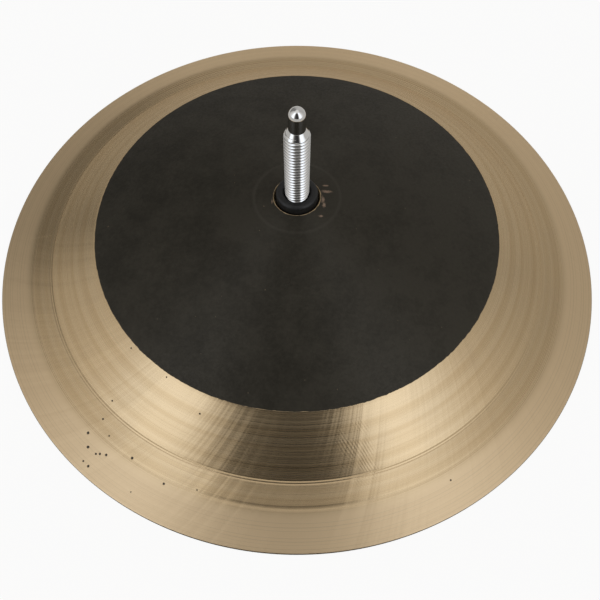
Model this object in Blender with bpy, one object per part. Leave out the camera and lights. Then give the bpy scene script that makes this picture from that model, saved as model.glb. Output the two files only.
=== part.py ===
# An eight inch bell cymbal on its threaded mounting post.
#
# The origin is on the post's axis, in the plane that the bell's rim stands on, and +Z points up.
# The foot of the post stands in the same plane. The seat that carries the bell hangs under the
# crown of the dome, so its heights are worked out from the bell downwards.

import math

import bmesh
import bpy
from mathutils import Vector

MM = 0.001

# Clearance between pieces that rest on, or pass through, one another
SEAT_GAP = 0.3 * MM

# Bell, outer side, from the rim inwards
BELL_RADIUS = 101.6 * MM
RIM_HEIGHT = 1.3 * MM  # edge that shows at the rim
RIM_LAND = 2.6 * MM  # flat ring under the rim
RIM_ROUNDING = 0.25 * MM
BRIM_WIDTH = 18.4 * MM  # lathed flare, from the rim to the crease
BRIM_RISE = 5.2 * MM
BRIM_SAG = 0.3 * MM  # how far the flare hollows below a straight line
CONE_WIDTH = 16.6 * MM  # lathed slope, from the crease to the raw dome
CONE_RISE = 10.0 * MM
DOME_RISE = 11.7 * MM
DOME_WALL = 3.2 * MM
BRIM_WALL = 2.0 * MM
HOLE_CLEARANCE = 0.35 * MM  # between the bell's hole and the sleeve
HOLE_CHAMFER = 0.42 * MM

# Post
POST_RADIUS = 3.88 * MM  # crest of the thread
THREAD_PITCH = 1.25 * MM
THREAD_DEPTH = 0.7 * MM
EXPOSED_THREAD = 26.9 * MM  # from the top of the sleeve to the shoulder
UPPER_THREAD_START = 4.0 * MM  # how far the upper thread runs down into the sleeve
THREAD_CHAMFER = 1.3 * MM  # length over which a thread's crests fade at its end
SHOULDER_LENGTH = 1.3 * MM  # cone from the thread's root to the pin
PIN_RADIUS = 2.5 * MM
PIN_LENGTH = 7.55 * MM  # from the shoulder's cone to the tip
PIN_CROWN = 2.7 * MM  # height of the rounded tip
FOOT_CHAMFER = 0.6 * MM

# Sleeve
SLEEVE_WALL = 2.5 * MM
SLEEVE_STAND = 2.6 * MM  # how far it stands above the bell at the hole
FLANGE_THICKNESS = 1.5 * MM

# Felt
FELT_RADIUS = 16.0 * MM
FELT_THICKNESS = 7.0 * MM
FELT_CHAMFER = 0.7 * MM

# Cup washer
CUP_WALL = 1.5 * MM
CUP_LIP = 3.0 * MM  # height of the lip above the cup's floor

# Lock washer
LOCK_THICKNESS = 2.0 * MM
LOCK_WIDTH = 2.9 * MM
LOCK_SPLIT = math.radians(12.0)

# Nut
NUT_FLATS = 13.0 * MM
NUT_HEIGHT = 4.0 * MM
NUT_CHAMFER = math.radians(30.0)

# Facets
BELL_STEPS = 88
DOME_POINTS = 7
CONE_POINTS = 3
BRIM_POINTS = 4
SEAT_STEPS = 48
POST_COLUMNS = 18
ROUND_POINTS = 4
EDGE_POINTS = 2
WELD = 0.5e-6

# Radii and heights that follow from the sizes above
BORE_RADIUS = POST_RADIUS + SEAT_GAP
SLEEVE_RADIUS = BORE_RADIUS + SLEEVE_WALL
HOLE_RADIUS = SLEEVE_RADIUS + HOLE_CLEARANCE
CREASE_RADIUS = BELL_RADIUS - BRIM_WIDTH
DOME_RADIUS = CREASE_RADIUS - CONE_WIDTH
CREASE_Z = RIM_HEIGHT + BRIM_RISE
DOME_EDGE_Z = CREASE_Z + CONE_RISE
SPHERE_RADIUS = (DOME_RADIUS**2 + DOME_RISE**2) / (2 * DOME_RISE)
SPHERE_Z = DOME_EDGE_Z + DOME_RISE - SPHERE_RADIUS


# Height at a radius of the dome's sphere, or of its inner side, which lies depth below it
def dome_height(radius, depth=0.0):
    return SPHERE_Z + math.sqrt((SPHERE_RADIUS - depth) ** 2 - radius**2)


BELL_TOP_Z = dome_height(HOLE_RADIUS)
SEAT_Z = dome_height(HOLE_RADIUS, DOME_WALL)
ROCK_Z = (BELL_TOP_Z + SEAT_Z) / 2
FLANGE_Z = SEAT_Z - SEAT_GAP - FELT_THICKNESS - SEAT_GAP - FLANGE_THICKNESS
FELT_Z = FLANGE_Z + FLANGE_THICKNESS + SEAT_GAP
CUP_Z = FLANGE_Z - SEAT_GAP - CUP_WALL
LOCK_Z = CUP_Z - SEAT_GAP - LOCK_THICKNESS
NUT_Z = LOCK_Z - SEAT_GAP - NUT_HEIGHT
SLEEVE_TOP_Z = BELL_TOP_Z + SLEEVE_STAND
SHOULDER_Z = SLEEVE_TOP_Z + EXPOSED_THREAD
PIN_TOP_Z = SHOULDER_Z + SHOULDER_LENGTH + PIN_LENGTH


def clear_scene():
    for old in list(bpy.data.objects):
        bpy.data.objects.remove(old, do_unlink=True)


def principled(name, color, roughness, metallic):
    material = bpy.data.materials.new(name)
    material.use_nodes = True
    shader = material.node_tree.nodes["Principled BSDF"]
    shader.inputs["Base Color"].default_value = (*color, 1.0)
    shader.inputs["Roughness"].default_value = roughness
    shader.inputs["Metallic"].default_value = metallic
    material.diffuse_color = (*color, 1.0)
    return material


def place(name, shape, material, parent, height):
    data = bpy.data.meshes.new(name)
    bmesh.ops.recalc_face_normals(shape, faces=shape.faces[:])
    shape.to_mesh(data)
    shape.free()
    data.shade_smooth()
    data.set_sharp_from_angle(angle=math.radians(30.0))
    data.materials.append(material)
    piece = bpy.data.objects.new(name, data)
    bpy.context.scene.collection.objects.link(piece)
    piece.parent = parent
    piece.location.z = height - (parent.matrix_world.translation.z if parent else 0.0)
    return piece


def axis_empty(name, height, parent=None):
    empty = bpy.data.objects.new(name, None)
    empty.empty_display_size = 10 * MM
    bpy.context.scene.collection.objects.link(empty)
    empty.parent = parent
    empty.location.z = height - (parent.matrix_world.translation.z if parent else 0.0)
    bpy.context.view_layer.update()
    return empty


# A closed profile of (radius, height) points, turned about Z
def turned(profile, steps, angle=2 * math.pi):
    shape = bmesh.new()
    points = [shape.verts.new((radius, 0.0, height)) for radius, height in profile]
    loop = [shape.edges.new((a, b)) for a, b in zip(points, points[1:] + points[:1])]
    whole = angle >= 2 * math.pi
    start_cap = None if whole else shape.faces.new(points)
    made = bmesh.ops.spin(
        shape,
        geom=points + loop,
        cent=(0.0, 0.0, 0.0),
        axis=(0.0, 0.0, 1.0),
        angle=angle,
        steps=steps,
        use_merge=whole,
    )
    if start_cap:
        ends = [item for item in made["geom_last"] if isinstance(item, bmesh.types.BMVert)]
        shape.faces.new(in_profile_order(ends, profile, angle))
    return shape


# The last ring of a part turn, back in the order of its profile
def in_profile_order(ends, profile, angle):
    ordered = []
    for radius, height in profile:
        spot = Vector((radius * math.cos(angle), radius * math.sin(angle), height))
        ordered.append(min(ends, key=lambda point: (point.co - spot).length))
    return ordered


# Points of an arc, from one angle to another about a centre. A second half axis makes it elliptical.
def arc(centre_radius, centre_height, rounding, start, end, count, rise=None):
    points = []
    for index in range(count + 1):
        angle = start + (end - start) * index / count
        across = rounding * math.cos(angle)
        up = (rise or rounding) * math.sin(angle)
        points.append((centre_radius + across, centre_height + up))
    return points


# The bell's outer side, from the hole to the rim's top edge, as (radius, height, wall) points
def bell_outer_side():
    points = []
    first = HOLE_RADIUS + HOLE_CHAMFER
    for index in range(DOME_POINTS + 1):
        radius = first + (DOME_RADIUS - first) * index / DOME_POINTS
        points.append((radius, dome_height(radius), DOME_WALL))
    slope_width = CONE_WIDTH + BRIM_WIDTH
    for index in range(1, CONE_POINTS + 1):
        part = index / CONE_POINTS
        radius = DOME_RADIUS + CONE_WIDTH * part
        wall = DOME_WALL + (BRIM_WALL - DOME_WALL) * CONE_WIDTH * part / slope_width
        points.append((radius, DOME_EDGE_Z - CONE_RISE * part, wall))
    for index in range(1, BRIM_POINTS + 1):
        part = index / BRIM_POINTS
        radius = CREASE_RADIUS + BRIM_WIDTH * part
        height = CREASE_Z - BRIM_RISE * part - 4 * BRIM_SAG * part * (1 - part)
        passed = CONE_WIDTH + BRIM_WIDTH * part
        wall = DOME_WALL + (BRIM_WALL - DOME_WALL) * passed / slope_width
        points.append((radius, height, wall))
    return points


# The outer side set back by its wall, square to the surface, up to the brim's last point
def bell_inner_side(outer):
    inner = []
    for before, here, after in zip(outer, outer[1:], outer[2:]):
        run = after[0] - before[0]
        fall = after[1] - before[1]
        length = math.hypot(run, fall)
        inner.append((here[0] + here[2] * fall / length, here[1] - here[2] * run / length))
    return inner


def bell_profile():
    outer = bell_outer_side()
    inner = bell_inner_side(outer)
    rim_top = RIM_HEIGHT - RIM_ROUNDING
    profile = [(HOLE_RADIUS, SEAT_Z + HOLE_CHAMFER), (HOLE_RADIUS, BELL_TOP_Z - HOLE_CHAMFER)]
    profile += [(radius, height) for radius, height, wall in outer[:-1]]
    rim_radius = BELL_RADIUS - RIM_ROUNDING
    profile += arc(rim_radius, rim_top, RIM_ROUNDING, math.pi / 2, 0.0, EDGE_POINTS)
    profile += arc(rim_radius, RIM_ROUNDING, RIM_ROUNDING, 0.0, -math.pi / 2, EDGE_POINTS)
    profile.append((BELL_RADIUS - RIM_LAND, 0.0))
    profile += reversed(inner)
    mouth = HOLE_RADIUS + HOLE_CHAMFER
    profile.append((mouth, dome_height(mouth, DOME_WALL)))
    return profile


def make_bell(pivot):
    bronze = principled("bell_bronze", (0.36, 0.27, 0.16), 0.34, 1.0)
    profile = [(radius, height - ROCK_Z) for radius, height in bell_profile()]
    return place("bell_cymbal", turned(profile, BELL_STEPS), bronze, pivot, ROCK_Z)


def make_sleeve(slide):
    nylon = principled("sleeve_black", (0.012, 0.012, 0.013), 0.5, 0.0)
    height = SLEEVE_TOP_Z - FLANGE_Z
    crown = SLEEVE_WALL / 2
    profile = [(BORE_RADIUS, 0.0), (FELT_RADIUS, 0.0), (FELT_RADIUS, FLANGE_THICKNESS)]
    profile.append((SLEEVE_RADIUS, FLANGE_THICKNESS))
    profile += arc(BORE_RADIUS + crown, height - crown, crown, 0.0, math.pi, 2 * ROUND_POINTS)
    return place("seat_sleeve", turned(profile, SEAT_STEPS), nylon, slide, FLANGE_Z)


# The felt's top follows the underside of the dome
def make_felt(spin):
    wool = principled("felt_grey", (0.23, 0.22, 0.21), 0.95, 0.0)
    inside = SLEEVE_RADIUS + SEAT_GAP
    profile = [(inside, 0.0), (FELT_RADIUS - FELT_CHAMFER, 0.0), (FELT_RADIUS, FELT_CHAMFER)]
    edge_top = dome_height(FELT_RADIUS, DOME_WALL) - SEAT_GAP - FELT_Z
    profile.append((FELT_RADIUS, edge_top - FELT_CHAMFER))
    lid_edge = FELT_RADIUS - FELT_CHAMFER
    for index in range(ROUND_POINTS + 1):
        radius = lid_edge - (lid_edge - inside) * index / ROUND_POINTS
        profile.append((radius, dome_height(radius, DOME_WALL) - SEAT_GAP - FELT_Z))
    return place("lower_felt", turned(profile, SEAT_STEPS), wool, spin, FELT_Z)


def make_cup():
    steel = principled("seat_steel", (0.55, 0.55, 0.55), 0.28, 1.0)
    inside = FELT_RADIUS + SEAT_GAP
    outside = inside + CUP_WALL
    profile = [(BORE_RADIUS, 0.0)]
    profile += arc(inside, CUP_WALL, CUP_WALL, -math.pi / 2, 0.0, ROUND_POINTS)
    profile += [(outside, CUP_WALL + CUP_LIP), (inside, CUP_WALL + CUP_LIP)]
    profile += [(inside, CUP_WALL), (BORE_RADIUS, CUP_WALL)]
    return place("cup_washer", turned(profile, SEAT_STEPS), steel, None, CUP_Z)


def make_lock_washer():
    steel = principled("spring_steel", (0.42, 0.42, 0.43), 0.32, 1.0)
    outside = BORE_RADIUS + LOCK_WIDTH
    profile = [(BORE_RADIUS, 0.0), (outside, 0.0)]
    profile += [(outside, LOCK_THICKNESS), (BORE_RADIUS, LOCK_THICKNESS)]
    ring = turned(profile, SEAT_STEPS, 2 * math.pi - LOCK_SPLIT)
    return place("lock_washer", ring, steel, None, LOCK_Z)


def prism(sides, radius, height):
    shape = bmesh.new()
    bmesh.ops.create_cone(
        shape,
        cap_ends=True,
        segments=sides,
        radius1=radius,
        radius2=radius,
        depth=height,
    )
    bmesh.ops.translate(shape, verts=shape.verts[:], vec=(0.0, 0.0, height / 2))
    return shape


# A hexagon whose corners are turned down at both ends, with the post's bore through it
def make_nut():
    steel = principled("nut_steel", (0.5, 0.5, 0.51), 0.3, 1.0)
    corner = NUT_FLATS / 2 / math.cos(math.pi / 6)
    nut = place("seat_nut", prism(6, corner, NUT_HEIGHT), steel, None, NUT_Z)
    face = NUT_FLATS / 2
    fall = (corner - face) * math.tan(NUT_CHAMFER)
    over = SEAT_GAP
    reach = over / math.tan(NUT_CHAMFER)
    blank_profile = [
        (BORE_RADIUS, -over),
        (face - reach, -over),
        (face, 0.0),
        (corner, fall),
        (corner + over, fall),
        (corner + over, NUT_HEIGHT - fall),
        (corner, NUT_HEIGHT - fall),
        (face, NUT_HEIGHT),
        (face - reach, NUT_HEIGHT + over),
        (BORE_RADIUS, NUT_HEIGHT + over),
    ]
    blank = place("nut_blank", turned(blank_profile, SEAT_STEPS), steel, None, NUT_Z)
    blank.hide_render = True
    blank.display_type = "WIRE"
    common = nut.modifiers.new("turned_corners_and_bore", "BOOLEAN")
    common.operation = "INTERSECT"
    common.object = blank
    return nut


def ring(shape, radius, height):
    points = []
    for column in range(POST_COLUMNS):
        angle = 2 * math.pi * column / POST_COLUMNS
        points.append(shape.verts.new((radius * math.cos(angle), radius * math.sin(angle), height)))
    return points


def wall_between(shape, lower, upper):
    for column in range(POST_COLUMNS):
        beside = (column + 1) % POST_COLUMNS
        shape.faces.new((lower[column], lower[beside], upper[beside], upper[column]))


# A turned wall, from its lowest ring, which it gives back, to its highest
def plain_wall(shape, profile):
    rings = [ring(shape, radius, height) for radius, height in profile]
    for lower, upper in zip(rings, rings[1:]):
        wall_between(shape, lower, upper)
    return rings[0]


# A right-hand thread as rows that climb one pitch in each turn. The crests fade out towards both
# ends, where every row closes on one circle of the root radius.
def threaded_wall(shape, bottom, top):
    root = POST_RADIUS - THREAD_DEPTH
    crest_half = 1 / 16
    section = ((0.0, 0.0), (0.5 - crest_half, 1.0), (0.5 + crest_half, 1.0))
    turns = math.ceil((top - bottom) / THREAD_PITCH) + 3
    rows = []
    for turn in range(turns):
        for share, proud in section:
            row = []
            for column in range(POST_COLUMNS):
                climb = turn + share + column / POST_COLUMNS - 1
                height = min(max(bottom + THREAD_PITCH * climb, bottom), top)
                fade = min(1.0, (height - bottom) / THREAD_CHAMFER, (top - height) / THREAD_CHAMFER)
                radius = root + THREAD_DEPTH * proud * fade
                angle = 2 * math.pi * column / POST_COLUMNS
                spot = (radius * math.cos(angle), radius * math.sin(angle), height)
                row.append(shape.verts.new(spot))
            rows.append(row)
    step = len(section)
    for index in range(len(rows) - step - 1):
        for column in range(POST_COLUMNS - 1):
            here = rows[index]
            above = rows[index + 1]
            shape.faces.new((here[column], here[column + 1], above[column + 1], above[column]))
        seam = (rows[index][-1], rows[index + step][0], rows[index + step + 1][0], rows[index + 1][-1])
        shape.faces.new(seam)


def make_post():
    chrome = principled("post_chrome", (0.75, 0.76, 0.78), 0.08, 1.0)
    shape = bmesh.new()
    root = POST_RADIUS - THREAD_DEPTH
    lower_top = CUP_Z + CUP_WALL
    upper_bottom = SLEEVE_TOP_Z - UPPER_THREAD_START
    foot = plain_wall(shape, [(root - FOOT_CHAMFER, 0.0), (root, FOOT_CHAMFER)])
    threaded_wall(shape, FOOT_CHAMFER, lower_top)
    plain_wall(shape, [(root, lower_top), (root, upper_bottom)])
    threaded_wall(shape, upper_bottom, SHOULDER_Z)
    neck = [(root, SHOULDER_Z), (PIN_RADIUS, SHOULDER_Z + SHOULDER_LENGTH)]
    crown_z = PIN_TOP_Z - PIN_CROWN
    tip = arc(0.0, crown_z, PIN_RADIUS, 0.0, math.pi / 2, ROUND_POINTS, PIN_CROWN)
    plain_wall(shape, neck + tip)
    shape.faces.new(foot)
    bmesh.ops.remove_doubles(shape, verts=shape.verts[:], dist=WELD)
    return place("mounting_post", shape, chrome, None, 0.0)


clear_scene()
lift_axis = axis_empty("seat_lift_axis", FLANGE_Z)
spin_axis = axis_empty("bell_spin_axis", FELT_Z, lift_axis)
rock_axis = axis_empty("bell_rock_axis", ROCK_Z, spin_axis)
make_post()
make_nut()
make_lock_washer()
make_cup()
make_sleeve(lift_axis)
make_felt(spin_axis)
make_bell(rock_axis)
bpy.context.view_layer.update()
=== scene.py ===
import math

import bmesh
import bpy
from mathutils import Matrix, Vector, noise


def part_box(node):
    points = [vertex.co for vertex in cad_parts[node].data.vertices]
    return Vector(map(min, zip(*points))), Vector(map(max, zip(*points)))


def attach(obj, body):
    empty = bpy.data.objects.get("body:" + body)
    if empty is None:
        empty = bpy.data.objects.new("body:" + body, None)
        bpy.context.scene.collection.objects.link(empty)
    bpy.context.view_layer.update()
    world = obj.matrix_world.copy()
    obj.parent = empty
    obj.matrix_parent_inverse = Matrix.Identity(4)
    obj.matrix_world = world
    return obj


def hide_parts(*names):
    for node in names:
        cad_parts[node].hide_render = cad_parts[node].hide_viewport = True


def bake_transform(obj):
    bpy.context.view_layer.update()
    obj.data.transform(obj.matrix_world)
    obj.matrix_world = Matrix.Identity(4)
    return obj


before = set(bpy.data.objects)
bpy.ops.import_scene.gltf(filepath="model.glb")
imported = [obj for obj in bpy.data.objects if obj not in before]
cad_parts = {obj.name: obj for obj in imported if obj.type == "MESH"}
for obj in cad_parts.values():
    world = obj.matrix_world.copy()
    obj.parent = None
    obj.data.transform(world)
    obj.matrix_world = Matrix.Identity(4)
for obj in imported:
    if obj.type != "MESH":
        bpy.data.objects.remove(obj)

mm = 0.001
weld = 0.0004 * mm
scene = bpy.context.scene
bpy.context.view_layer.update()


# mesh helpers

def turnedRings(shape, profile, steps):
    # rings of a turned surface, one for each point of the profile
    rings = []
    for radius, height in profile:
        ring = []
        for step in range(steps):
            angle = 2 * math.pi * step / steps
            ring.append(shape.verts.new((radius * math.cos(angle), radius * math.sin(angle), height)))
        rings.append(ring)
    return rings


def skinRings(shape, rings, steps, closed):
    pairs = list(zip(rings, rings[1:]))
    if closed:
        pairs.append((rings[-1], rings[0]))
    for lower, upper in pairs:
        for step in range(steps):
            nextStep = (step + 1) % steps
            shape.faces.new((lower[step], lower[nextStep], upper[nextStep], upper[step]))


def addPiece(name, shape, material, sharpAngle):
    bmesh.ops.remove_doubles(shape, verts=shape.verts[:], dist=weld)
    bmesh.ops.recalc_face_normals(shape, faces=shape.faces[:])
    data = bpy.data.meshes.new(name)
    shape.to_mesh(data)
    shape.free()
    data.shade_smooth()
    data.set_sharp_from_angle(angle=math.radians(sharpAngle))
    data.materials.append(material)
    piece = bpy.data.objects.new(name, data)
    scene.collection.objects.link(piece)
    return piece


def turnedPiece(name, profile, steps, material, sharpAngle):
    # a closed profile turned about Z
    shape = bmesh.new()
    skinRings(shape, turnedRings(shape, profile, steps), steps, True)
    return addPiece(name, shape, material, sharpAngle)


def arc(centreRadius, centreHeight, rounding, start, end, count):
    points = []
    for index in range(count + 1):
        angle = math.radians(start + (end - start) * index / count)
        points.append((centreRadius + rounding * math.cos(angle), centreHeight + rounding * math.sin(angle)))
    return points


# shader helpers

def feed(tree, socket, value):
    # numbers and colours are set on the socket, anything else is linked to it
    if isinstance(value, (int, float)):
        socket.default_value = value
    elif isinstance(value, tuple):
        socket.default_value = (*value, 1.0)
    else:
        tree.links.new(value, socket)


def mathNode(tree, operation, *values, clamp=False):
    node = tree.nodes.new("ShaderNodeMath")
    node.operation = operation
    node.use_clamp = clamp
    for socket, value in zip(node.inputs, values):
        feed(tree, socket, value)
    return node.outputs[0]


def vectorNode(tree, operation, vector, fixed=None):
    node = tree.nodes.new("ShaderNodeVectorMath")
    node.operation = operation
    tree.links.new(vector, node.inputs[0])
    if fixed is not None:
        node.inputs[1].default_value = fixed
    return node.outputs["Value" if operation in ("LENGTH", "DISTANCE") else "Vector"]


def splitVector(tree, vector):
    node = tree.nodes.new("ShaderNodeSeparateXYZ")
    tree.links.new(vector, node.inputs[0])
    return node.outputs


def ramp(tree, value, low, high, toLow=0.0, toHigh=1.0):
    # smooth step from low to high, also where low is above high
    node = tree.nodes.new("ShaderNodeMapRange")
    node.interpolation_type = "SMOOTHSTEP"
    tree.links.new(value, node.inputs["Value"])
    node.inputs["From Min"].default_value = min(low, high)
    node.inputs["From Max"].default_value = max(low, high)
    node.inputs["To Min"].default_value = toLow if low < high else toHigh
    node.inputs["To Max"].default_value = toHigh if low < high else toLow
    return node.outputs["Result"]


def mixColor(tree, factor, first, second):
    node = tree.nodes.new("ShaderNodeMix")
    node.data_type = "RGBA"
    for index, value in ((0, factor), (6, first), (7, second)):
        feed(tree, node.inputs[index], value)
    return node.outputs[2]


def mixValue(tree, factor, first, second):
    node = tree.nodes.new("ShaderNodeMix")
    node.data_type = "FLOAT"
    for index, value in ((0, factor), (2, first), (3, second)):
        feed(tree, node.inputs[index], value)
    return node.outputs[0]


def noiseNode(tree, vector, scale, detail=2.0, roughness=0.5, dimensions="3D"):
    node = tree.nodes.new("ShaderNodeTexNoise")
    node.noise_dimensions = dimensions
    feed(tree, node.inputs["Scale"], scale)
    node.inputs["Detail"].default_value = detail
    node.inputs["Roughness"].default_value = roughness
    tree.links.new(vector, node.inputs["W" if dimensions == "1D" else "Vector"])
    return node.outputs["Fac"]


def newMaterial(name):
    material = bpy.data.materials.new(name)
    material.use_nodes = True
    tree = material.node_tree
    shader = tree.nodes["Principled BSDF"]
    place = tree.nodes.new("ShaderNodeTexCoord").outputs["Object"]
    return material, tree, shader, place


def newGroup(name, numbers, results):
    # a group that takes a place on the surface and some numbers, and gives values
    group = bpy.data.node_groups.new(name, "ShaderNodeTree")
    group.interface.new_socket(name="Vector", in_out="INPUT", socket_type="NodeSocketVector")
    for label, value in numbers.items():
        socket = group.interface.new_socket(name=label, in_out="INPUT", socket_type="NodeSocketFloat")
        socket.default_value = value
    for label in results:
        group.interface.new_socket(name=label, in_out="OUTPUT", socket_type="NodeSocketFloat")
    given = group.nodes.new("NodeGroupInput").outputs
    wanted = group.nodes.new("NodeGroupOutput").inputs
    return group, given, wanted


def placeGroup(tree, group, vector, **values):
    node = tree.nodes.new("ShaderNodeGroup")
    node.node_tree = group
    tree.links.new(vector, node.inputs["Vector"])
    for label, value in values.items():
        node.inputs[label].default_value = value
    return node.outputs


def addBump(tree, shader, height, strength, distance):
    bump = tree.nodes.new("ShaderNodeBump")
    bump.inputs["Strength"].default_value = strength
    bump.inputs["Distance"].default_value = distance
    tree.links.new(height, bump.inputs["Height"])
    tree.links.new(bump.outputs["Normal"], shader.inputs["Normal"])


# shared effects

def buildToolLines():
    # rings that a turning tool leaves about Z: fine lines, and slow bands between them
    numbers = {"Lines": 2600.0, "Bands": 260.0}  # lines and bands to a metre
    group, given, wanted = newGroup("toolLines", numbers, ("Radius", "Fine", "Broad"))
    radius = vectorNode(group, "LENGTH", vectorNode(group, "MULTIPLY", given["Vector"], (1.0, 1.0, 0.0)))
    # the tool wanders a little as the work turns
    drift = noiseNode(group, given["Vector"], 18.0, 1.0)
    wander = mathNode(group, "MULTIPLY_ADD", drift, 0.15 * mm, radius)
    fine = noiseNode(group, mathNode(group, "MULTIPLY", wander, given["Lines"]), 1.0, 3.0, 0.6, "1D")
    broad = noiseNode(group, mathNode(group, "MULTIPLY", wander, given["Bands"]), 1.0, 2.0, 0.5, "1D")
    group.links.new(radius, wanted["Radius"])
    group.links.new(fine, wanted["Fine"])
    group.links.new(broad, wanted["Broad"])
    return group


def buildGrain():
    # fine grain with slow blotches, for cast, moulded and pressed surfaces
    group, given, wanted = newGroup("surfaceGrain", {"Grain": 1500.0, "Blotch": 60.0}, ("Fine", "Slow"))
    group.links.new(noiseNode(group, given["Vector"], given["Grain"], 4.0, 0.6), wanted["Fine"])
    group.links.new(noiseNode(group, given["Vector"], given["Blotch"], 4.0, 0.6), wanted["Slow"])
    return group


toolLines = buildToolLines()
surfaceGrain = buildGrain()

# the bell

bell = {
    "rim": 101.6 * mm,
    "rimHeight": 1.3 * mm,
    "rimRound": 0.3 * mm,
    "rimLand": 2.6 * mm,
    "brimWidth": 18.4 * mm,
    "brimRise": 5.2 * mm,
    "brimSag": 0.3 * mm,
    "brimWall": 2.0 * mm,
    "coneWidth": 16.6 * mm,
    "coneRise": 10.0 * mm,
    "domeRise": 11.7 * mm,
    "domeWall": 3.2 * mm,
    "hole": 7.03 * mm,
    "holeEdge": 0.42 * mm,
    "skin": 0.06 * mm,  # how far the raw dome stands above the turned slope
    "skinEdge": 0.15 * mm,
    "hollowEdge": 4.6 * mm,  # from the rim to the edge of the hollow
    "steps": 360,
    "domeRings": 40,
    "hollowRings": 60,
    "rimSteps": 5,
    "ringSpacing": 0.8 * mm,
    "grooveSpacing": 0.1 * mm,
    "firstRing": 1.0 * mm,  # from the dome's edge to the first ring of the slope
    "lastRing": 0.5 * mm,  # no ring of the brim lies nearer to the rim
    "sharp": 25,
}
# turned grooves as radius, depth and width in mm
grooves = ((83.3, 0.10, 0.20), (84.0, 0.07, 0.18), (90.3, 0.05, 0.5))
bronze = {
    "raw": (0.0090, 0.0080, 0.0052),
    "rawPaleAndPaintedLight": (0.0225, 0.0200, 0.0145),
    "feltMark": (0.045, 0.04, 0.032),
    "speck": (0.16, 0.12, 0.075),
    "rubbed": (0.30, 0.205, 0.145),
    "bright": (0.60, 0.458, 0.283),
    "deep": (0.53, 0.391, 0.228),
    "tarnish": (0.50, 0.385, 0.25),
    # painted light: the paler colour of the outer brim
    "brim": (0.74, 0.572, 0.368),
    "lineShade": (0.33, 0.24, 0.14),
    "pit": (0.03, 0.024, 0.018),
    "edge": (0.085, 0.062, 0.038),
    "skinFray": 0.6 * mm,  # how far the edge of the raw skin wanders
    "skinEnd": (0.20 * mm, 0.36 * mm),  # outside the dome's edge
    "holeFray": 0.7 * mm,
    "bareHole": (8.10 * mm, 7.75 * mm),
    # painted light on the raw dome: paler towards the middle and towards +X
    "paintedLightMiddle": (34.0 * mm, 9.0 * mm),
    "paintedLightSide": (-10 * mm, 60 * mm),
    "feltMarkInner": (13.0 * mm, 13.6 * mm),
    "feltMarkOuter": (14.6 * mm, 13.8 * mm),
    "paintedLightBrimSpan": (89.5 * mm, 94.0 * mm),
    "darkRimBand": (0.2 * mm, 0.06 * mm),  # in from the rim
    "rawRough": (0.44, 0.58),
    "turnedRough": (0.22, 0.31),
    "brimDuller": 0.20,
    "stretch": 0.8,  # how far the tool lines draw out what the metal mirrors
    "relief": 0.012 * mm,
    # heights and depth as shares of the relief
    "grainHeight": 0.6,
    "bandHeight": 0.22,
    "lineHeight": 0.25,
    "ridgeHeight": 0.25,
    "unevenHeight": 6.0,
    "pitDepth": 4.0,
}
# casting pits as angle in degrees, radius in mm and size in mm: picked by eye in the photo, and their
# pixels turned into these places by a scratch script with the camera below
pits = (
    (-136.5, 68.0, 0.30), (-124.0, 67.6, 0.25), (-132.4, 81.6, 0.30), (-131.5, 86.9, 0.36),
    (-132.0, 92.5, 0.50), (-128.3, 89.1, 0.28), (-130.2, 95.2, 0.48), (-128.2, 95.1, 0.36),
    (-127.6, 94.4, 0.38), (-126.5, 93.5, 0.40), (-129.2, 98.8, 0.36), (-127.9, 98.9, 0.42),
    (-122.0, 90.0, 0.44), (-114.4, 91.6, 0.36), (-112.7, 71.7, 0.30), (-108.3, 89.8, 0.26),
    (-61.9, 93.3, 0.30), (-119.0, 97.6, 0.24),
)
# rubbed spots beside the hole as x, y and half sizes in mm
rubs = (
    (9.2, 4.3, 0.9, 0.30), (9.4, 1.9, 1.6, 0.50), (8.2, -1.4, 0.45, 1.3), (8.5, -3.4, 0.5, 0.8),
    (7.4, -7.6, 0.6, 0.35), (-7.9, -2.0, 0.15, 0.9),
)
# where the turning tool chattered on the slope, each patch as angle and half width in degrees, and strength
chatter = {
    "patches": ((-77.5, 5.0, 1.0), (-101.0, 4.0, 0.6), (-66.0, 4.0, 0.3)),
    "pitch": 1.0 * mm,
    "slant": 0.85,
    "wander": 2.6 * mm,
    "top": (69 * mm, 73 * mm),
    "foot": (88 * mm, 83 * mm),
}

creaseRadius = bell["rim"] - bell["brimWidth"]
domeRadius = creaseRadius - bell["coneWidth"]
creaseZ = bell["rimHeight"] + bell["brimRise"]
domeEdgeZ = creaseZ + bell["coneRise"]
sphereRadius = (domeRadius ** 2 + bell["domeRise"] ** 2) / (2 * bell["domeRise"])
sphereZ = domeEdgeZ + bell["domeRise"] - sphereRadius


def domeHeight(radius, depth=0.0):
    return sphereZ + math.sqrt((sphereRadius - depth) ** 2 - radius ** 2)


def outerHeight(radius):
    if radius <= domeRadius:
        return domeHeight(radius)
    if radius <= creaseRadius:
        return domeEdgeZ - bell["coneRise"] * (radius - domeRadius) / bell["coneWidth"]
    part = (radius - creaseRadius) / bell["brimWidth"]
    return creaseZ - bell["brimRise"] * part - 4 * bell["brimSag"] * part * (1 - part)


def wallAt(radius):
    part = max(0.0, (radius - domeRadius) / (bell["rim"] - domeRadius))
    return bell["domeWall"] + (bell["brimWall"] - bell["domeWall"]) * part


def grooveDepth(radius):
    depth = 0.0
    for centre, deep, width in grooves:
        away = (radius / mm - centre) / width
        depth += deep * mm * math.exp(-away * away)
    return depth


def outerRadii(start):
    # rings over dome, slope and brim, close together at the grooves
    domeEnd = domeRadius - bell["skinEdge"]
    count = bell["domeRings"]
    radii = [start + (domeEnd - start) * index / count for index in range(count + 1)]
    radii += [domeRadius, domeRadius + bell["skinEdge"]]
    radius = domeRadius + bell["firstRing"]
    while radius < bell["rim"] - bell["lastRing"]:
        radii.append(radius)
        nearGroove = any(abs(radius / mm - centre) < 3 * width for centre, deep, width in grooves)
        radius += bell["grooveSpacing"] if nearGroove else bell["ringSpacing"]
    return radii


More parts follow.
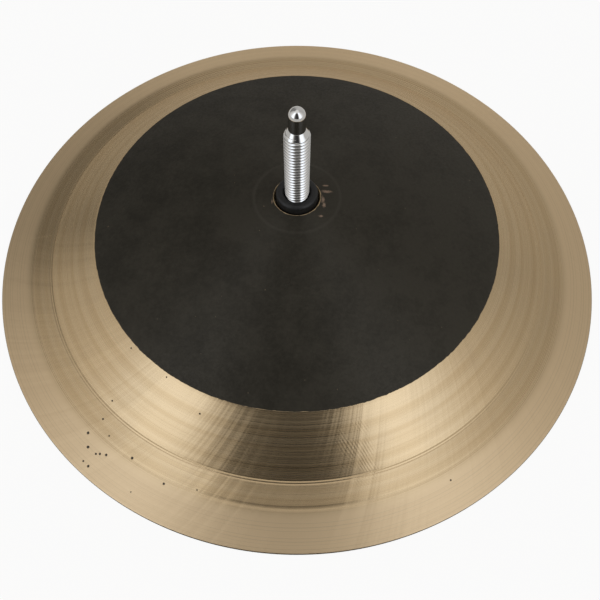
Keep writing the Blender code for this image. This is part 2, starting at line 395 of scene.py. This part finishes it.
def hollowPoints(start):
    # the underside lies one wall inside the outer side, measured square to it
    points = []
    end = bell["rim"] - bell["hollowEdge"]
    reach = 0.5 * mm
    for index in range(1, bell["hollowRings"]):
        radius = start + (end - start) * index / bell["hollowRings"]
        slope = (outerHeight(radius + reach) - outerHeight(radius - reach)) / (2 * reach)
        wall = wallAt(radius) / math.hypot(1.0, slope)
        points.append((radius + wall * slope, outerHeight(radius) - wall))
    return points


def bellProfile():
    hole = bell["hole"]
    start = hole + bell["holeEdge"]
    profile = [(hole, domeHeight(hole, bell["domeWall"]) + bell["holeEdge"])]
    profile.append((hole, domeHeight(hole) - bell["holeEdge"]))
    for radius in outerRadii(start):
        turnedDown = bell["skin"] if radius > domeRadius else 0.0
        profile.append((radius, outerHeight(radius) - turnedDown - grooveDepth(radius)))
    rounding = bell["rimRound"]
    centre = bell["rim"] - rounding
    profile += arc(centre, bell["rimHeight"] - rounding, rounding, 80, 0, bell["rimSteps"])
    profile += arc(centre, rounding, rounding, 0, -90, bell["rimSteps"])
    profile.append((bell["rim"] - bell["rimLand"], 0.0))
    profile += reversed(hollowPoints(start))
    profile.append((start, domeHeight(start, bell["domeWall"])))
    return profile


def smallest(tree, values):
    least = values[0]
    for value in values[1:]:
        least = mathNode(tree, "MINIMUM", least, value)
    return least


def rubMask(tree, place):
    # wear that has rubbed through the raw skin beside the hole
    reaches = []
    for x, y, wide, deep in rubs:
        away = vectorNode(tree, "SUBTRACT", place, (x * mm, y * mm, 0.0))
        away = vectorNode(tree, "MULTIPLY", away, (1 / (wide * mm), 1 / (deep * mm), 0.0))
        reaches.append(vectorNode(tree, "LENGTH", away))
    torn = mathNode(tree, "MULTIPLY_ADD", noiseNode(tree, place, 1900.0, 2.0), 1.6, smallest(tree, reaches))
    return ramp(tree, torn, 2.3, 1.1, 0.0, 0.75)


def pitMask(tree, place, ragged):
    reaches = []
    for angle, distance, size in pits:
        spread = math.radians(angle)
        radius = distance * mm
        centre = (radius * math.cos(spread), radius * math.sin(spread), outerHeight(radius))
        reaches.append(mathNode(tree, "DIVIDE", vectorNode(tree, "DISTANCE", place, centre), size * mm))
    return ramp(tree, mathNode(tree, "MULTIPLY_ADD", ragged, 0.5, smallest(tree, reaches)), 1.35, 0.85)


def rawSkin(tree, place, radius, grain):
    # dark and blotched, with painted light that makes it paler round the hole and on the +X side, and the
    # ring of a felt that once sat there
    # painted light: paler towards the dome's middle
    pale = ramp(tree, radius, *bronze["paintedLightMiddle"], 0.0, 0.45)
    cloud = ramp(tree, noiseNode(tree, place, 620.0, 3.0, 0.7), 0.35, 0.7)
    blotchAndPaintedLight = mathNode(tree, "MULTIPLY_ADD", cloud, 0.5, ramp(tree, grain["Slow"], 0.35, 0.70, 0.0, 0.7))
    # painted light: paler towards the +X side, added into the blotches
    paintedSideLight = ramp(tree, splitVector(tree, place)[0], *bronze["paintedLightSide"], 0.0, 0.45)
    blotchAndPaintedLight = mathNode(tree, "ADD", blotchAndPaintedLight, paintedSideLight)
    ringIn = ramp(tree, radius, *bronze["feltMarkInner"])
    ringOut = ramp(tree, radius, *bronze["feltMarkOuter"])
    feltRing = mathNode(tree, "MULTIPLY", mathNode(tree, "MULTIPLY", ringIn, ringOut), 0.35)
    color = mixColor(tree, mathNode(tree, "ADD", pale, blotchAndPaintedLight, clamp=True), bronze["raw"], bronze["rawPaleAndPaintedLight"])
    color = mixColor(tree, feltRing, color, bronze["feltMark"])
    speck = ramp(tree, noiseNode(tree, place, 900.0, 1.0), 0.79, 0.83, 0.0, 0.5)
    color = mixColor(tree, speck, color, bronze["speck"])
    return mixColor(tree, rubMask(tree, place), color, bronze["rubbed"])


def turnedMetal(tree, radius, lines, grain, paintedLightDullBrim, pitted):
    # tool lines, slow bands and a faint patchy tarnish
    color = mixColor(tree, ramp(tree, lines["Broad"], 0.3, 0.7), bronze["bright"], bronze["deep"])
    color = mixColor(tree, ramp(tree, grain["Slow"], 0.45, 0.75, 0.0, 0.25), color, bronze["tarnish"])
    # painted light: the outer brim paler where its slope brightens
    color = mixColor(tree, paintedLightDullBrim, color, bronze["brim"])
    color = mixColor(tree, ramp(tree, lines["Fine"], 0.50, 0.30, 0.0, 0.22), color, bronze["lineShade"])
    color = mixColor(tree, pitted, color, bronze["pit"])
    # the rim's edge is painted dark
    darkStart, darkEnd = bronze["darkRimBand"]
    onEdge = ramp(tree, radius, bell["rim"] - darkStart, bell["rim"] - darkEnd)
    return mixColor(tree, onEdge, color, bronze["edge"])


def turnedRelief(tree, place, radius, lines):
    x, y = splitVector(tree, place)[:2]
    angle = mathNode(tree, "ARCTAN2", y, x)
    # slanted chatter marks that cross the turned slope
    across = mathNode(tree, "MULTIPLY_ADD", y, chatter["slant"], x)
    across = mathNode(tree, "MULTIPLY_ADD", noiseNode(tree, place, 70.0, 2.0), chatter["wander"], across)
    ridges = mathNode(tree, "SINE", mathNode(tree, "MULTIPLY", across, 2 * math.pi / chatter["pitch"]))
    patches = 0.0
    for middle, half, amount in chatter["patches"]:
        away = mathNode(tree, "ABSOLUTE", mathNode(tree, "SUBTRACT", angle, math.radians(middle)))
        patch = ramp(tree, away, math.radians(half), math.radians(0.4 * half), 0.0, amount)
        patches = mathNode(tree, "ADD", patch, patches)
    slopeTop = ramp(tree, radius, *chatter["top"])
    slopeFoot = ramp(tree, radius, *chatter["foot"])
    patches = mathNode(tree, "MULTIPLY", patches, mathNode(tree, "MULTIPLY", slopeTop, slopeFoot))
    broken = ramp(tree, noiseNode(tree, place, 170.0, 3.0), 0.42, 0.66)
    patches = mathNode(tree, "MULTIPLY", patches, broken)
    fine = mathNode(tree, "MULTIPLY", lines["Fine"], bronze["lineHeight"])
    height = mathNode(tree, "MULTIPLY_ADD", lines["Broad"], bronze["bandHeight"], fine)
    ridges = mathNode(tree, "MULTIPLY", ridges, patches)
    height = mathNode(tree, "MULTIPLY_ADD", ridges, bronze["ridgeHeight"], height)
    # the turned face isn't quite even round the bell, which breaks up what it mirrors
    slanted = mathNode(tree, "MULTIPLY_ADD", radius, 6.0, angle)
    uneven = noiseNode(tree, mathNode(tree, "MULTIPLY", slanted, 14.0), 1.0, 3.0, 0.6, "1D")
    return mathNode(tree, "MULTIPLY_ADD", uneven, bronze["unevenHeight"], height)


def bronzeMaterial():
    material, tree, shader, place = newMaterial("castBronze")
    lines = placeGroup(tree, toolLines, place, Lines=2600.0, Bands=240.0)
    grain = placeGroup(tree, surfaceGrain, place, Grain=1300.0, Blotch=95.0)
    radius = lines["Radius"]

    # raw inside a slightly ragged edge round the dome, and turned outside it and in the hole
    ragged = noiseNode(tree, place, 520.0, 3.0, 0.6)
    edge = mathNode(tree, "MULTIPLY_ADD", ragged, bronze["skinFray"], radius)
    skinThins, skinEnds = bronze["skinEnd"]
    turned = ramp(tree, edge, domeRadius + skinThins, domeRadius + skinEnds)
    holeEdge = mathNode(tree, "MULTIPLY_ADD", ragged, bronze["holeFray"], radius)
    bareHole = ramp(tree, holeEdge, *bronze["bareHole"])
    bare = mathNode(tree, "MAXIMUM", turned, bareHole, clamp=True)

    # the outer half of the brim is painted paler, which is painted light, and is duller in its shine
    paintedLightDullBrim = ramp(tree, radius, *bronze["paintedLightBrimSpan"])
    pitted = pitMask(tree, place, ragged)
    raw = rawSkin(tree, place, radius, grain)
    metal = turnedMetal(tree, radius, lines, grain, paintedLightDullBrim, pitted)
    tree.links.new(mixColor(tree, bare, raw, metal), shader.inputs["Base Color"])
    bareMetal = mathNode(tree, "MULTIPLY", bare, mathNode(tree, "SUBTRACT", 1.0, pitted))
    tree.links.new(bareMetal, shader.inputs["Metallic"])
    rawRough = ramp(tree, grain["Fine"], 0.3, 0.7, *bronze["rawRough"])
    turnedRough = ramp(tree, lines["Fine"], 0.3, 0.7, *bronze["turnedRough"])
    turnedRough = mathNode(tree, "MULTIPLY_ADD", paintedLightDullBrim, bronze["brimDuller"], turnedRough)
    tree.links.new(mixValue(tree, bareMetal, rawRough, turnedRough), shader.inputs["Roughness"])

    shader.inputs["Specular IOR Level"].default_value = 0.38
    shader.inputs["Specular Tint"].default_value = (1.0, 0.92, 0.80, 1.0)
    shader.inputs["Anisotropic"].default_value = bronze["stretch"]
    shader.inputs["Anisotropic Rotation"].default_value = 0.25
    tangent = tree.nodes.new("ShaderNodeTangent")
    tangent.direction_type = "RADIAL"
    tangent.axis = "Z"
    tree.links.new(tangent.outputs[0], shader.inputs["Tangent"])

    rawHeight = mathNode(tree, "MULTIPLY", grain["Fine"], bronze["grainHeight"])
    height = mixValue(tree, bare, rawHeight, turnedRelief(tree, place, radius, lines))
    height = mathNode(tree, "SUBTRACT", height, mathNode(tree, "MULTIPLY", pitted, bronze["pitDepth"]))
    addBump(tree, shader, height, 1.0, bronze["relief"])
    return material


print("turning the bell")
bellPiece = turnedPiece("bellCymbal", bellProfile(), bell["steps"], bronzeMaterial(), bell["sharp"])
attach(bellPiece, "bell")
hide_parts("bell_cymbal")

# the post

post = {
    "crest": 3.88 * mm,
    "pitch": 1.25 * mm,
    "depth": 0.70 * mm,
    "upperStart": 26.67 * mm,
    "shoulder": 57.57 * mm,
    "lowerTop": 15.47 * mm,
    "fade": 1.3 * mm,
    "cone": 1.3 * mm,
    "neckEdge": 0.05 * mm,
    "pin": 2.5 * mm,
    "pinLength": 7.55 * mm,
    "crown": 2.7 * mm,
    "crownRings": 16,
    "footEdge": 0.6 * mm,
    "steps": 72,
    "sharp": 40,
    "chrome": (0.72, 0.72, 0.72),
    "dull": (0.60, 0.59, 0.57),
    # painted shade in the thread's roots
    "paintedRootShade": (0.10, 0.098, 0.092),
    "grooveTop": (0.6 * mm, 1.2 * mm),  # down from the shoulder
    "grooveReach": (0.30 * mm, 0.12 * mm),  # out from the thread's root
    "rough": (0.02, 0.07),
}
postRoot = post["crest"] - post["depth"]
# one pitch of the thread: place along it and how far it stands out, with plated, rounded crests
threadSection = (
    (0.00, 0.00), (0.07, 0.03), (0.17, 0.30), (0.27, 0.63), (0.35, 0.86), (0.43, 0.98),
    (0.50, 1.00), (0.57, 0.98), (0.65, 0.86), (0.73, 0.63), (0.83, 0.30), (0.93, 0.03),
)
# where the rings of the shoulder's cone lie, close to its ends to keep them crisp
coneShares = (0.0, 0.03, 0.35, 0.65, 0.97, 1.0)


def threadWall(shape, bottom, top):
    # rings that climb one pitch a turn, held level at both ends of the thread
    steps = post["steps"]
    turns = math.ceil((top - bottom) / post["pitch"]) + 3
    rows = []
    for turn in range(turns):
        for share, proud in threadSection:
            row = []
            for step in range(steps):
                climb = turn + share + step / steps - 1
                height = min(max(bottom + post["pitch"] * climb, bottom), top)
                fade = min(1.0, (height - bottom) / post["fade"], (top - height) / post["fade"])
                radius = postRoot + post["depth"] * min(proud, fade)
                angle = 2 * math.pi * step / steps
                row.append(shape.verts.new((radius * math.cos(angle), radius * math.sin(angle), height)))
            rows.append(row)
    jump = len(threadSection)
    for index in range(len(rows) - jump - 1):
        here = rows[index]
        above = rows[index + 1]
        for step in range(steps - 1):
            shape.faces.new((here[step], here[step + 1], above[step + 1], above[step]))
        shape.faces.new((here[-1], rows[index + jump][0], rows[index + jump + 1][0], above[-1]))


def plainWall(shape, profile):
    skinRings(shape, turnedRings(shape, profile, post["steps"]), post["steps"], False)


def chromeMaterial():
    material, tree, shader, place = newMaterial("postChrome")
    grain = placeGroup(tree, surfaceGrain, place, Grain=2200.0, Blotch=140.0)
    color = mixColor(tree, ramp(tree, grain["Slow"], 0.45, 0.8, 0.0, 0.35), post["chrome"], post["dull"])
    # painted shade in the thread's roots
    radius = placeGroup(tree, toolLines, place)["Radius"]
    height = splitVector(tree, place)[2]
    threaded = ramp(tree, height, *(post["shoulder"] - drop for drop in post["grooveTop"]))
    deep = ramp(tree, radius, *(postRoot + reach for reach in post["grooveReach"]), 0.0, 0.85)
    color = mixColor(tree, mathNode(tree, "MULTIPLY", deep, threaded), color, post["paintedRootShade"])
    tree.links.new(color, shader.inputs["Base Color"])
    tree.links.new(ramp(tree, grain["Slow"], 0.3, 0.8, *post["rough"]), shader.inputs["Roughness"])
    shader.inputs["Metallic"].default_value = 1.0
    addBump(tree, shader, grain["Fine"], 0.5, 0.002 * mm)
    return material


def makePost():
    shape = bmesh.new()
    plainWall(shape, [(0.0, 0.0), (postRoot - post["footEdge"], 0.0), (postRoot, post["footEdge"])])
    threadWall(shape, post["footEdge"], post["lowerTop"])
    plainWall(shape, [(postRoot, post["lowerTop"]), (postRoot, post["upperStart"])])
    threadWall(shape, post["upperStart"], post["shoulder"])
    upper = []
    for share in coneShares:
        upper.append((postRoot + (post["pin"] - postRoot) * share, post["shoulder"] + post["cone"] * share))
    neckTop = post["shoulder"] + post["cone"]
    upper.append((post["pin"], neckTop + post["neckEdge"]))
    crownZ = neckTop + post["pinLength"] - post["crown"]
    for index in range(post["crownRings"]):
        angle = math.pi / 2 * index / post["crownRings"]
        upper.append((post["pin"] * math.cos(angle), crownZ + post["crown"] * math.sin(angle)))
    upper.append((0.0, crownZ + post["crown"]))
    plainWall(shape, upper)
    return addPiece("threadedPost", shape, chromeMaterial(), post["sharp"])


print("cutting the post's thread")
postPiece = makePost()
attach(postPiece, "post")
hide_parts("mounting_post")

# the sleeve

sleeve = {
    "bore": 4.18 * mm,
    "outside": 6.68 * mm,
    "flange": 16.0 * mm,
    "flangeThickness": 1.5 * mm,
    "flangeRound": 0.3 * mm,
    "edge": 1.05 * mm,
    "boreEdge": 0.55 * mm,
    "seamPlace": 0.25 * mm,
    "seamWidth": 0.16 * mm,
    "seamDepth": 0.07 * mm,
    "seamStart": 0.5 * mm,  # up from the flange
    "seamEnd": 0.1 * mm,  # out from the bore
    "steps": 160,
    "sharp": 50,
    "color": (0.0085, 0.0085, 0.0085),
    "pale": (0.017, 0.0165, 0.015),
    "rough": (0.42, 0.56),
}
sleeveLow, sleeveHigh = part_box("seat_sleeve")


def sleeveMaterial():
    material, tree, shader, place = newMaterial("blackSleeve")
    grain = placeGroup(tree, surfaceGrain, place, Grain=1800.0, Blotch=220.0)
    color = mixColor(tree, ramp(tree, grain["Slow"], 0.4, 0.75, 0.0, 0.6), sleeve["color"], sleeve["pale"])
    tree.links.new(color, shader.inputs["Base Color"])
    tree.links.new(ramp(tree, grain["Fine"], 0.3, 0.7, *sleeve["rough"]), shader.inputs["Roughness"])
    shader.inputs["Specular IOR Level"].default_value = 0.4
    addBump(tree, shader, grain["Fine"], 0.6, 0.01 * mm)
    return material


def makeSleeve():
    low = sleeveLow[2]
    high = sleeveHigh[2]
    shelf = low + sleeve["flangeThickness"]
    edge = sleeve["edge"]
    boreEdge = sleeve["boreEdge"]
    rounding = sleeve["flangeRound"]
    profile = [(sleeve["bore"], low)]
    profile += arc(sleeve["flange"] - rounding, low + rounding, rounding, -90, 0, 4)
    profile += arc(sleeve["flange"] - rounding, shelf - rounding, rounding, 0, 90, 4)
    profile += [(sleeve["outside"], shelf), (sleeve["outside"], (shelf + high) / 2)]
    profile += arc(sleeve["outside"] - edge, high - edge, edge, 0, 90, 10)
    profile += arc(sleeve["bore"] + boreEdge, high - boreEdge, boreEdge, 90, 180, 8)
    piece = turnedPiece("seatSleeve", profile, sleeve["steps"], sleeveMaterial(), sleeve["sharp"])
    # the moulding seam on the near side, a shallow nick down the outside and over the lip
    lowest = shelf + sleeve["seamStart"]
    innermost = sleeve["bore"] + sleeve["seamEnd"]
    for vertex in piece.data.vertices:
        x, y, z = vertex.co
        if y < 0 and z > lowest and math.hypot(x, y) > innermost:
            away = (x - sleeve["seamPlace"]) / sleeve["seamWidth"]
            vertex.co.y += sleeve["seamDepth"] * math.exp(-away ** 2)
    return piece


print("moulding the sleeve")
sleevePiece = makeSleeve()
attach(sleevePiece, "sleeve")
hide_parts("seat_sleeve")

# the felt

felt = {
    "inside": 6.98 * mm,
    "outside": 16.0 * mm,
    "round": 0.9 * mm,
    "gap": 0.3 * mm,
    "fuzz": 0.06 * mm,
    "steps": 220,
    "baseRings": 20,
    "sideRings": 12,
    "sharp": 80,
    "color": (0.25, 0.24, 0.225),
    "shade": (0.17, 0.165, 0.155),
    "fibre": (0.42, 0.41, 0.39),
    "rough": (0.85, 1.0),
}
feltLow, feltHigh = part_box("lower_felt")


def feltMaterial():
    material, tree, shader, place = newMaterial("woolFelt")
    grain = placeGroup(tree, surfaceGrain, place, Grain=2600.0, Blotch=320.0)
    color = mixColor(tree, ramp(tree, grain["Slow"], 0.3, 0.75), felt["color"], felt["shade"])
    color = mixColor(tree, ramp(tree, grain["Fine"], 0.60, 0.72, 0.0, 0.5), color, felt["fibre"])
    tree.links.new(color, shader.inputs["Base Color"])
    tree.links.new(ramp(tree, grain["Fine"], 0.3, 0.7, *felt["rough"]), shader.inputs["Roughness"])
    shader.inputs["Sheen Weight"].default_value = 0.5
    shader.inputs["Sheen Roughness"].default_value = 0.5
    addBump(tree, shader, grain["Fine"], 1.0, 0.12 * mm)
    return material


def underDome(radius):
    return domeHeight(radius, bell["domeWall"]) - felt["gap"] - felt["fuzz"]


def makeFelt():
    edge = felt["round"]
    outside = felt["outside"] - felt["fuzz"]
    flatEnd = outside - edge
    inside = felt["inside"] + felt["fuzz"]
    base = feltLow[2] + felt["fuzz"]
    top = underDome(flatEnd)
    profile = [(inside, base)]
    for index in range(1, felt["baseRings"]):
        share = index / felt["baseRings"]
        profile.append((felt["inside"] + (flatEnd - felt["inside"]) * share, base))
    profile += arc(flatEnd, base + edge, edge, -90, 0, 6)
    for index in range(1, felt["sideRings"]):
        share = index / felt["sideRings"]
        profile.append((outside, feltLow[2] + edge + (top - 2 * edge - feltLow[2]) * share))
    profile += arc(flatEnd, top - edge, edge, 0, 90, 6)
    for index in range(1, felt["baseRings"] + 1):
        radius = flatEnd - (flatEnd - inside) * index / felt["baseRings"]
        profile.append((radius, underDome(radius)))
    piece = turnedPiece("lowerFelt", profile, felt["steps"], feltMaterial(), felt["sharp"])
    # coarse and fine fuzz
    for vertex in piece.data.vertices:
        push = noise.noise(vertex.co * 1400.0) + 0.5 * noise.noise(vertex.co * 3100.0)
        vertex.co += vertex.normal * (felt["fuzz"] * max(-1.0, min(1.0, push)))
    return piece


print("pressing the felt")
feltPiece = makeFelt()
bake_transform(feltPiece)
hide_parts("lower_felt")

# the steel of the seat, kept as built and given its finish

steel = {
    "cup_washer": {"color": (0.56, 0.55, 0.53), "lines": 2400.0, "rough": (0.16, 0.30)},
    "lock_washer": {"color": (0.42, 0.42, 0.43), "lines": 1800.0, "rough": (0.26, 0.42)},
    "seat_nut": {"color": (0.54, 0.53, 0.51), "lines": 2000.0, "rough": (0.18, 0.32)},
}
steelWorn = 0.72  # brightness of worn steel beside new


def steelMaterial(name, finish):
    material, tree, shader, place = newMaterial(name)
    lines = placeGroup(tree, toolLines, place, Lines=finish["lines"], Bands=400.0)
    grain = placeGroup(tree, surfaceGrain, place, Grain=1600.0, Blotch=160.0)
    worn = tuple(steelWorn * part for part in finish["color"])
    color = mixColor(tree, ramp(tree, grain["Slow"], 0.4, 0.75, 0.0, 0.6), finish["color"], worn)
    color = mixColor(tree, ramp(tree, lines["Fine"], 0.5, 0.3, 0.0, 0.3), color, worn)
    tree.links.new(color, shader.inputs["Base Color"])
    tree.links.new(ramp(tree, lines["Fine"], 0.3, 0.7, *finish["rough"]), shader.inputs["Roughness"])
    shader.inputs["Metallic"].default_value = 1.0
    addBump(tree, shader, lines["Fine"], 0.6, 0.006 * mm)
    return material


print("finishing the steel")
for node, finish in steel.items():
    material = steelMaterial(node + "Steel", finish)
    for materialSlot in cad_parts[node].material_slots:
        materialSlot.material = material

# floor, light and camera

stage = {
    "floorSize": 6.0,
    "floorDrop": 0.02 * mm,
    "floorColor": (0.66, 0.63, 0.58),
    "floorRough": 0.9,
    "shadowKept": 0.07,
    "mirroredFloor": 0.2,
    "lightTable": 101.3 * mm,
    "overhead": 0.85,
    "overheadFrom": (0.86, 0.975),  # height in the sky, one being straight up
    "beneath": 0.6,
    "beneathFrom": (-0.05, -0.4),
    "skyColor": (1.0, 0.975, 0.935),
    "screenColor": (1.0, 1.05, 1.12),
    "screenFrom": (0.75, 1.3),  # brightness
}
# brightness of the studio by compass angle in degrees: two screens with a dark gap between them in front.
# A scratch script worked the first levels out from samples of the photo's slope; then changed by hand
around = (
    (-180, 0.74), (-165, 0.98), (-147, 1.55), (-132, 1.35), (-122, 0.50), (-113, 0.10), (-92, 0.03),
    (-75, 0.05), (-67, 0.45), (-60, 1.30), (-48, 1.60), (-36, 1.32), (-15, 0.78), (3, 0.58), (20, 0.48),
    (45, 0.53), (75, 0.55), (100, 0.47), (117, 0.24), (147, 0.23), (162, 0.60), (180, 0.74),
)


def mixShader(tree, factor, first, second):
    node = tree.nodes.new("ShaderNodeMixShader")
    tree.links.new(factor, node.inputs[0])
    tree.links.new(first, node.inputs[1])
    tree.links.new(second, node.inputs[2])
    return node.outputs[0]


def floorMaterial():
    material, tree, shader, place = newMaterial("paleFloor")
    shader.inputs["Base Color"].default_value = (*stage["floorColor"], 1.0)
    shader.inputs["Roughness"].default_value = stage["floorRough"]
    shader.inputs["Specular IOR Level"].default_value = 0.1
    glow = tree.nodes.new("ShaderNodeEmission")
    glow.inputs["Strength"].default_value = 1.0
    rays = tree.nodes.new("ShaderNodeLightPath").outputs
    shown = mathNode(tree, "MULTIPLY", rays["Is Camera Ray"], 1 - stage["shadowKept"])
    shown = mathNode(tree, "MULTIPLY_ADD", rays["Is Glossy Ray"], stage["mirroredFloor"], shown)
    pale = mixShader(tree, shown, shader.outputs[0], glow.outputs[0])
    # clear from below, and lit through the patch under the bell, so the hollow side can be looked at
    patch = mathNode(tree, "LESS_THAN", vectorNode(tree, "LENGTH", place), stage["lightTable"])
    patch = mathNode(tree, "MULTIPLY", patch, mathNode(tree, "SUBTRACT", 1.0, rays["Is Camera Ray"]))
    turnedAway = tree.nodes.new("ShaderNodeNewGeometry").outputs["Backfacing"]
    clear = tree.nodes.new("ShaderNodeBsdfTransparent").outputs[0]
    surface = mixShader(tree, mathNode(tree, "MAXIMUM", patch, turnedAway), pale, clear)
    tree.links.new(surface, tree.nodes["Material Output"].inputs["Surface"])
    return material


def makeFloor():
    data = bpy.data.meshes.new("floor")
    half = stage["floorSize"] / 2
    corners = [(-half, -half, 0), (half, -half, 0), (half, half, 0), (-half, half, 0)]
    data.from_pydata(corners, [], [(0, 1, 2, 3)])
    data.materials.append(floorMaterial())
    floor = bpy.data.objects.new("floor", data)
    floor.location.z = -stage["floorDrop"]
    scene.collection.objects.link(floor)


def compassLevel(tree, x, y):
    compass = mathNode(tree, "MULTIPLY_ADD", mathNode(tree, "ARCTAN2", y, x), 0.5 / math.pi, 0.5)
    # the ramp holds half of each brightness, which is doubled again after it
    table = tree.nodes.new("ShaderNodeValToRGB")
    tree.links.new(compass, table.inputs[0])
    stops = table.color_ramp.elements
    while len(stops) < len(around):
        stops.new(0.5)
    for stop, (angle, level) in zip(stops, around):
        stop.position = (angle + 180) / 360
        stop.color = (level / 2, level / 2, level / 2, 1.0)
    return mathNode(tree, "MULTIPLY", table.outputs["Color"], 2.0)


def makeWorld():
    world = bpy.data.worlds.new("studio")
    scene.world = world
    world.use_nodes = True
    tree = world.node_tree
    tree.nodes.clear()
    x, y, z = splitVector(tree, tree.nodes.new("ShaderNodeTexCoord").outputs["Generated"])
    level = compassLevel(tree, x, y)
    level = mixValue(tree, ramp(tree, z, *stage["overheadFrom"]), level, stage["overhead"])
    level = mixValue(tree, ramp(tree, z, *stage["beneathFrom"]), level, stage["beneath"])
    onScreen = ramp(tree, level, *stage["screenFrom"])
    tint = mixColor(tree, onScreen, stage["skyColor"], stage["screenColor"])
    # the camera sees plain white
    seen = tree.nodes.new("ShaderNodeLightPath").outputs["Is Camera Ray"]
    back = tree.nodes.new("ShaderNodeBackground")
    tree.links.new(mixColor(tree, seen, tint, (1.0, 1.0, 1.0)), back.inputs["Color"])
    tree.links.new(mixValue(tree, seen, level, 1.0), back.inputs["Strength"])
    out = tree.nodes.new("ShaderNodeOutputWorld")
    tree.links.new(back.outputs[0], out.inputs["Surface"])


view = {
    "place": (0.0, -123.48 * mm, 191.6 * mm),
    "tilt": 30.486,
    "sensor": 36.0,
    "lens": 38.465,
    "shiftX": 0.005,
    "shiftY": -0.05,
    "nearEnd": 5 * mm,
}


def makeCamera():
    data = bpy.data.cameras.new("photoView")
    data.sensor_width = view["sensor"]
    data.lens = view["lens"]
    data.shift_x = view["shiftX"]
    data.shift_y = view["shiftY"]
    data.clip_start = view["nearEnd"]
    camera = bpy.data.objects.new("photoView", data)
    camera.location = view["place"]
    camera.rotation_euler = (math.radians(view["tilt"]), 0.0, 0.0)
    scene.collection.objects.link(camera)
    scene.camera = camera


print("setting floor, light and camera")
makeFloor()
makeWorld()
makeCamera()
scene.view_settings.view_transform = "Standard"
